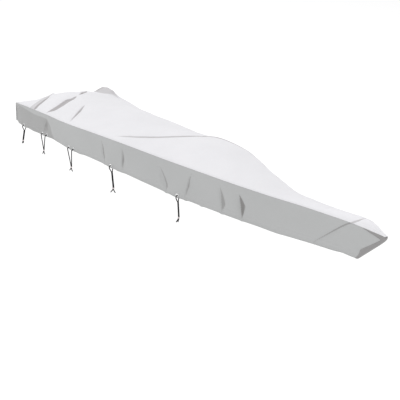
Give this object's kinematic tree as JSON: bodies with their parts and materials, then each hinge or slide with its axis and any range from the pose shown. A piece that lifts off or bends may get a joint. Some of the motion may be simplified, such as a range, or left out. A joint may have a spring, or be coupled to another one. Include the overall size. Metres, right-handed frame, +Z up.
{
  "type": "boat cover",
  "caption": "Long fitted cover draped over an open motor boat, with skirts on both sides and at the stern, a patch on the stem, eyelets along the hem and short tie cords.",
  "frame": {"origin": "where the boat holds the cover up: the underside of the top, amidships on the centreline", "axes": "+X towards the bow, +Y to port, +Z up"},
  "size_m": [5.809, 1.8466, 1.1648],
  "materials": {
    "top_cloth": "matt coated polyester, pale grey",
    "side_cloth": "matt coated polyester, mid grey",
    "patch_cloth": "matt coated polyester, dark grey",
    "eyelet_metal": "nickel-plated, satin",
    "tie_braid": "black braided polyester cord",
    "slider_plastic": "off-white, slightly pink"
  },
  "bodies": {
    "root": {"top_panel": "top_cloth", "skirt_starboard": "side_cloth", "skirt_port": "side_cloth", "skirt_transom": "side_cloth", "stem_patch": "patch_cloth", "eyelet_starboard_1": "eyelet_metal", "eyelet_starboard_2a": "eyelet_metal", "eyelet_starboard_2b": "eyelet_metal", "eyelet_starboard_3a": "eyelet_metal", "eyelet_starboard_3b": "eyelet_metal", "eyelet_starboard_4": "eyelet_metal", "eyelet_starboard_5": "eyelet_metal", "eyelet_port_1": "eyelet_metal", "eyelet_port_2a": "eyelet_metal", "eyelet_port_2b": "eyelet_metal", "eyelet_port_3a": "eyelet_metal", "eyelet_port_3b": "eyelet_metal", "eyelet_port_4": "eyelet_metal", "eyelet_port_5": "eyelet_metal", "tie_starboard_1": "tie_braid", "tie_starboard_2": "tie_braid", "tie_starboard_3": "tie_braid", "tie_starboard_4": "tie_braid", "tie_starboard_5": "tie_braid", "tie_port_1": "tie_braid", "tie_port_2": "tie_braid", "tie_port_3": "tie_braid", "tie_port_4": "tie_braid", "tie_port_5": "tie_braid", "slider_starboard_1": "slider_plastic", "slider_starboard_2": "slider_plastic", "slider_starboard_3": "slider_plastic", "slider_starboard_4": "slider_plastic", "slider_starboard_5": "slider_plastic", "slider_port_1": "slider_plastic", "slider_port_2": "slider_plastic", "slider_port_3": "slider_plastic", "slider_port_4": "slider_plastic", "slider_port_5": "slider_plastic"}
  },
  "joints": []
}
